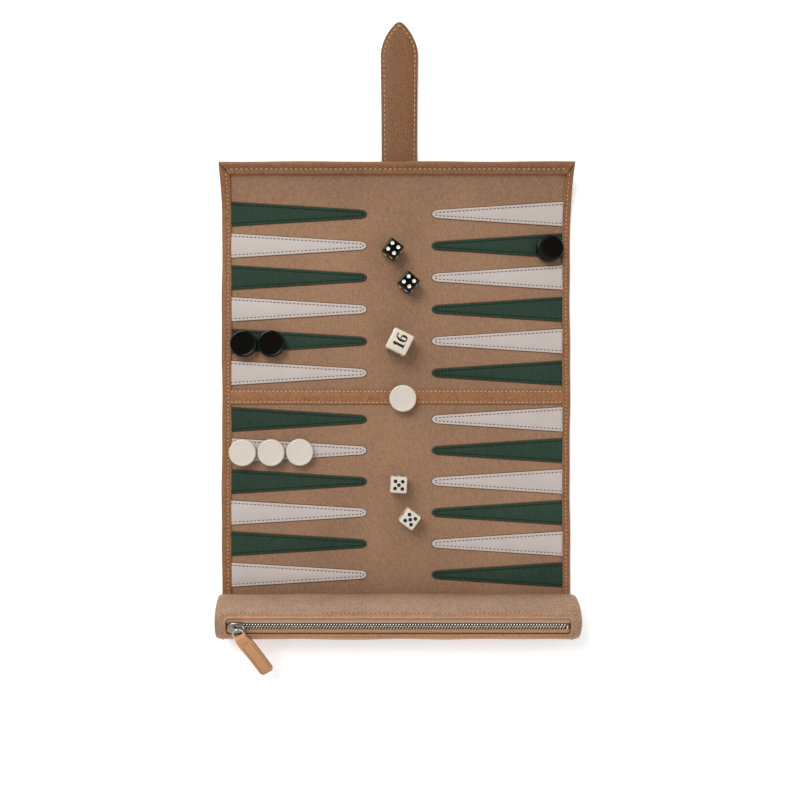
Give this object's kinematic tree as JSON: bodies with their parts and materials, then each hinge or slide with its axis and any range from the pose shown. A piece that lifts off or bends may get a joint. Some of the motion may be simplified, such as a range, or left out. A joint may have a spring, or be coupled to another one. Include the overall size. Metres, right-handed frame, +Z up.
{
  "type": "roll-up backgammon set",
  "caption": "Roll-up leather backgammon mat with sewn-on points, a closing strap, a zipped tube pouch for the pieces, checkers, dice and a doubling cube.",
  "frame": {"origin": "centre of the middle bar, on the underside of the open mat, at the level of the table", "axes": "+Z up from the table, +Y along the mat towards the closing strap, +X to the right across the mat with the pouch nearest to the viewer"},
  "size_m": [0.26, 0.4818, 0.0338],
  "materials": {
    "cover_leather": "satin",
    "green_leather": "matte",
    "white_leather": "matte",
    "bar_leather": "satin",
    "strap_leather": "satin",
    "pouch_leather": "satin",
    "zip_tape": "matte",
    "zip_metal": "satin",
    "ring_metal": "polished",
    "tab_leather": "satin",
    "black_resin": "gloss",
    "ivory_resin": "gloss",
    "cube_resin": "satin"
  },
  "bodies": {
    "row_01": {"mat_row_01": "cover_leather", "green_point_01": "green_leather", "white_point_01": "white_leather"},
    "row_02": {"mat_row_02": "cover_leather", "green_point_02": "green_leather", "white_point_02": "white_leather"},
    "row_03": {"mat_row_03": "cover_leather", "green_point_03": "green_leather", "white_point_03": "white_leather"},
    "row_04": {"mat_row_04": "cover_leather", "green_point_04": "green_leather", "white_point_04": "white_leather"},
    "row_05": {"mat_row_05": "cover_leather", "green_point_05": "green_leather", "white_point_05": "white_leather"},
    "row_06": {"mat_row_06": "cover_leather", "green_point_06": "green_leather", "white_point_06": "white_leather"},
    "row_07": {"mat_row_07": "cover_leather", "green_point_07": "green_leather", "white_point_07": "white_leather", "bar_strip": "bar_leather"},
    "row_08": {"mat_row_08": "cover_leather", "green_point_08": "green_leather", "white_point_08": "white_leather"},
    "row_09": {"mat_row_09": "cover_leather", "green_point_09": "green_leather", "white_point_09": "white_leather"},
    "row_10": {"mat_row_10": "cover_leather", "green_point_10": "green_leather", "white_point_10": "white_leather"},
    "row_11": {"mat_row_11": "cover_leather", "green_point_11": "green_leather", "white_point_11": "white_leather"},
    "row_12": {"mat_row_12": "cover_leather", "green_point_12": "green_leather", "white_point_12": "white_leather"},
    "pouch": {"pouch_shell": "pouch_leather", "zip_tape": "zip_tape", "zip_teeth": "zip_metal", "stored_black_checkers": "black_resin", "stored_white_checkers": "ivory_resin"},
    "strap_base": {"strap_base": "strap_leather"},
    "strap_middle": {"strap_middle": "strap_leather"},
    "strap_tip": {"strap_tip": "strap_leather"},
    "zip_slider": {"zip_slider": "zip_metal"},
    "pull_ring": {"pull_ring": "ring_metal"},
    "pull_tab": {"pull_tab": "tab_leather"},
    "black_checker_1": {"black_checker_1": "black_resin"},
    "black_checker_2": {"black_checker_2": "black_resin"},
    "black_checker_3": {"black_checker_3": "black_resin"},
    "white_checker_1": {"white_checker_1": "ivory_resin"},
    "white_checker_2": {"white_checker_2": "ivory_resin"},
    "white_checker_3": {"white_checker_3": "ivory_resin"},
    "white_checker_4": {"white_checker_4": "ivory_resin"},
    "black_die_1": {"black_die_1": "black_resin"},
    "black_die_2": {"black_die_2": "black_resin"},
    "white_die_1": {"white_die_1": "ivory_resin"},
    "white_die_2": {"white_die_2": "ivory_resin"},
    "doubling_cube": {"doubling_cube": "cube_resin"}
  },
  "joints": [
    {"name": "fold_01", "type": "hinge", "parent": "row_01", "child": "row_02", "pos_m": [0, 0.12315, 0.003], "axis": [-1, 0, 0], "range_deg": [0, 55.7]},
    {"name": "fold_02", "type": "hinge", "parent": "row_02", "child": "row_03", "pos_m": [0, 0.0994, 0.003], "axis": [-1, 0, 0], "range_deg": [0, 34.3]},
    {"name": "fold_03", "type": "hinge", "parent": "row_03", "child": "row_04", "pos_m": [0, 0.07565, 0.003], "axis": [-1, 0, 0], "range_deg": [0, 41.1]},
    {"name": "fold_04", "type": "hinge", "parent": "row_04", "child": "row_05", "pos_m": [0, 0.0519, 0.003], "axis": [-1, 0, 0], "range_deg": [0, 49.3]},
    {"name": "fold_05", "type": "hinge", "parent": "row_05", "child": "row_06", "pos_m": [0, 0.02815, 0.003], "axis": [-1, 0, 0], "range_deg": [0, 51.5]},
    {"name": "fold_06", "type": "hinge", "parent": "row_06", "child": "row_07", "pos_m": [0, 0.0084, 0.003], "axis": [-1, 0, 0], "range_deg": [0, 53.2]},
    {"name": "fold_07", "type": "hinge", "parent": "row_07", "child": "row_08", "pos_m": [0, -0.02965, 0.003], "axis": [-1, 0, 0], "range_deg": [0, 64]},
    {"name": "fold_08", "type": "hinge", "parent": "row_08", "child": "row_09", "pos_m": [0, -0.05285, 0.003], "axis": [-1, 0, 0], "range_deg": [0, 60.8]},
    {"name": "fold_09", "type": "hinge", "parent": "row_09", "child": "row_10", "pos_m": [0, -0.07605, 0.003], "axis": [-1, 0, 0], "range_deg": [0, 48.6]},
    {"name": "fold_10", "type": "hinge", "parent": "row_10", "child": "row_11", "pos_m": [0, -0.09925, 0.003], "axis": [-1, 0, 0], "range_deg": [0, 59.3]},
    {"name": "fold_11", "type": "hinge", "parent": "row_11", "child": "row_12", "pos_m": [0, -0.12245, 0.003], "axis": [-1, 0, 0], "range_deg": [0, 62.6]},
    {"name": "fold_pouch", "type": "hinge", "parent": "row_12", "child": "pouch", "pos_m": [0, -0.1446, 0.003], "axis": [-1, 0, 0], "range_deg": [0, 75.3]},
    {"name": "strap_base_bend", "type": "hinge", "parent": "row_01", "child": "strap_base", "pos_m": [0.0026, 0.146, 0.0024], "axis": [1, 0, 0], "range_deg": [0, 14]},
    {"name": "strap_middle_bend", "type": "hinge", "parent": "strap_base", "child": "strap_middle", "pos_m": [0.0026, 0.176, 0.0024], "axis": [1, 0, 0], "range_deg": [0, 80]},
    {"name": "strap_tip_bend", "type": "hinge", "parent": "strap_middle", "child": "strap_tip", "pos_m": [0.0026, 0.226, 0.0024], "axis": [1, 0, 0], "range_deg": [0, 62]},
    {"name": "zip_slide", "type": "slide", "parent": "pouch", "child": "zip_slider", "axis": [1, 0, 0], "range_m": [0, 0.228]},
    {"name": "pull_swing", "type": "hinge", "parent": "zip_slider", "child": "pull_ring", "pos_m": [-0.115, -0.16448, 0.03176], "axis": [0, -0.4211, 0.907], "range_deg": [0, 62]},
    {"name": "pull_lift", "type": "hinge", "parent": "pull_ring", "child": "pull_tab", "pos_m": [-0.11171, -0.17029, 0.02906], "axis": [0.8704, 0.4924, 0], "range_deg": [-100, 0]},
    {"name": "black_checker_1_lift", "type": "slide", "parent": "row_05", "child": "black_checker_1", "axis": [0, 0, 1], "range_m": [0, 0.1]},
    {"name": "black_checker_2_lift", "type": "slide", "parent": "row_05", "child": "black_checker_2", "axis": [0, 0, 1], "range_m": [0, 0.1]},
    {"name": "black_checker_3_lift", "type": "slide", "parent": "row_02", "child": "black_checker_3", "axis": [0, 0, 1], "range_m": [0, 0.1]},
    {"name": "white_checker_1_lift", "type": "slide", "parent": "row_08", "child": "white_checker_1", "axis": [0, 0, 1], "range_m": [0, 0.1]},
    {"name": "white_checker_2_lift", "type": "slide", "parent": "row_08", "child": "white_checker_2", "axis": [0, 0, 1], "range_m": [0, 0.1]},
    {"name": "white_checker_3_lift", "type": "slide", "parent": "row_08", "child": "white_checker_3", "axis": [0, 0, 1], "range_m": [0, 0.1]},
    {"name": "white_checker_4_lift", "type": "slide", "parent": "row_07", "child": "white_checker_4", "axis": [0, 0, 1], "range_m": [0, 0.1]},
    {"name": "black_die_1_lift", "type": "slide", "parent": "row_02", "child": "black_die_1", "axis": [0, 0, 1], "range_m": [0, 0.12]},
    {"name": "black_die_2_lift", "type": "slide", "parent": "row_03", "child": "black_die_2", "axis": [0, 0, 1], "range_m": [0, 0.12]},
    {"name": "white_die_1_lift", "type": "slide", "parent": "row_09", "child": "white_die_1", "axis": [0, 0, 1], "range_m": [0, 0.15]},
    {"name": "white_die_2_lift", "type": "slide", "parent": "row_10", "child": "white_die_2", "axis": [0, 0, 1], "range_m": [0, 0.15]},
    {"name": "doubling_cube_lift", "type": "slide", "parent": "row_05", "child": "doubling_cube", "axis": [0, 0, 1], "range_m": [0, 0.13]}
  ]
}
